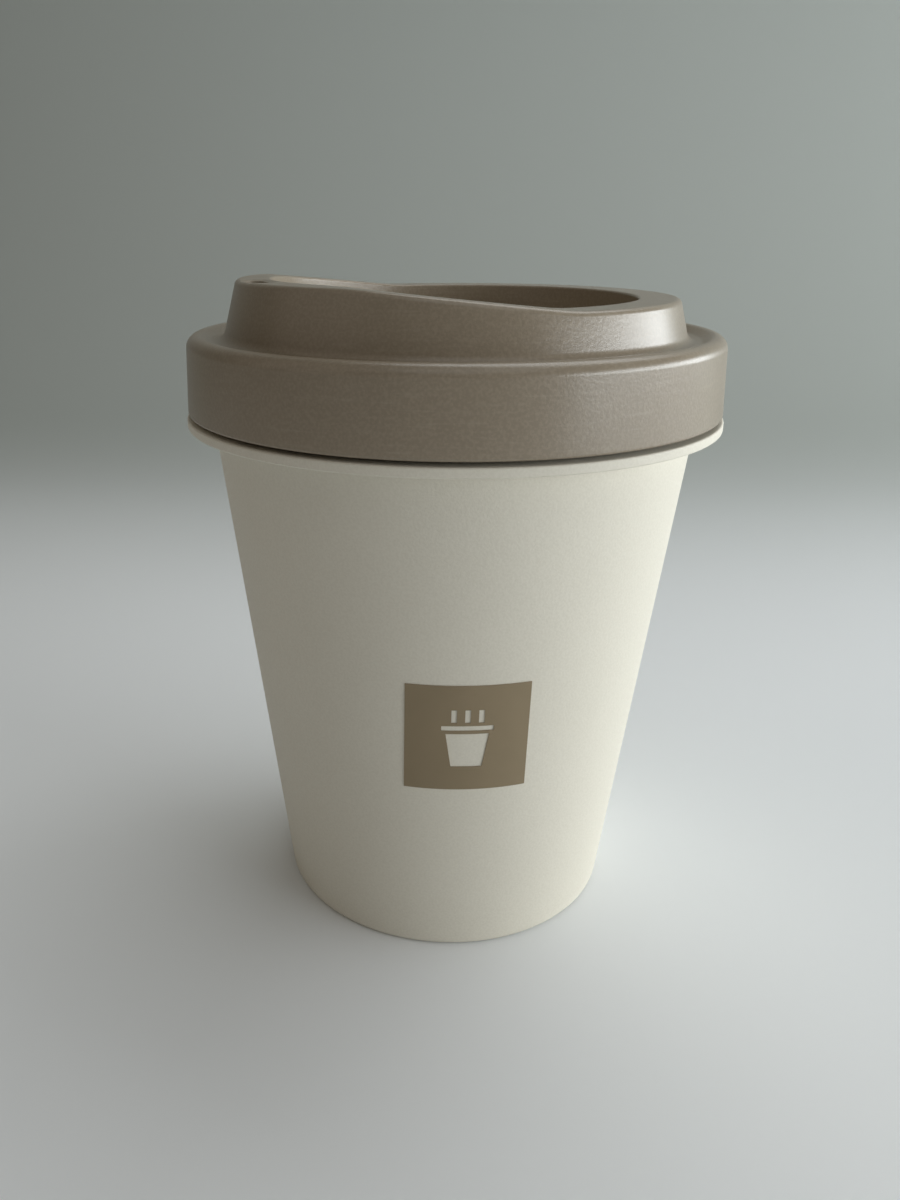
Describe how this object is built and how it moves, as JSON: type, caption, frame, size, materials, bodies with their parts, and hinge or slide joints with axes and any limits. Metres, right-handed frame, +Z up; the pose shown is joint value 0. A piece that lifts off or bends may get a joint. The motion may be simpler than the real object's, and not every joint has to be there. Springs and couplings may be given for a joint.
{
  "type": "coffee mug",
  "caption": "Tapered coffee mug with a flange, a screw lid with a raised mouth and sip hole, a seal ring and a printed square.",
  "frame": {"origin": "centre of the foot, on the surface that the mug stands on", "axes": "+Z up along the cup's axis, the printed square faces -Y, and the sip hole lies at 205 degrees from +X, counted counter-clockwise from above"},
  "size_m": [0.092, 0.092, 0.1141],
  "materials": {
    "cup": "fine matt moulded polypropylene, warm off-white",
    "ink": "flat pad-printed taupe ink",
    "seal": "translucent white silicone rubber",
    "lid": "satin moulded polypropylene, taupe"
  },
  "bodies": {
    "cup": {"cup": "cup", "print_patch": "ink"},
    "seal": {"seal_ring": "seal"},
    "lid": {"lid": "lid"}
  },
  "joints": [
    {"name": "lid_lift", "type": "slide", "parent": "cup", "child": "seal", "axis": [0, 0, 1], "range_m": [0, 0.0111]},
    {"name": "lid_turn", "type": "hinge", "parent": "seal", "child": "lid", "pos_m": [0, 0, 0.1], "axis": [0, 0, 1], "range_deg": [0, 990]}
  ],
  "couplings": [
    {"joint": "lid_lift", "follows": "lid_turn", "m_per_rad": 0.00063662}
  ]
}
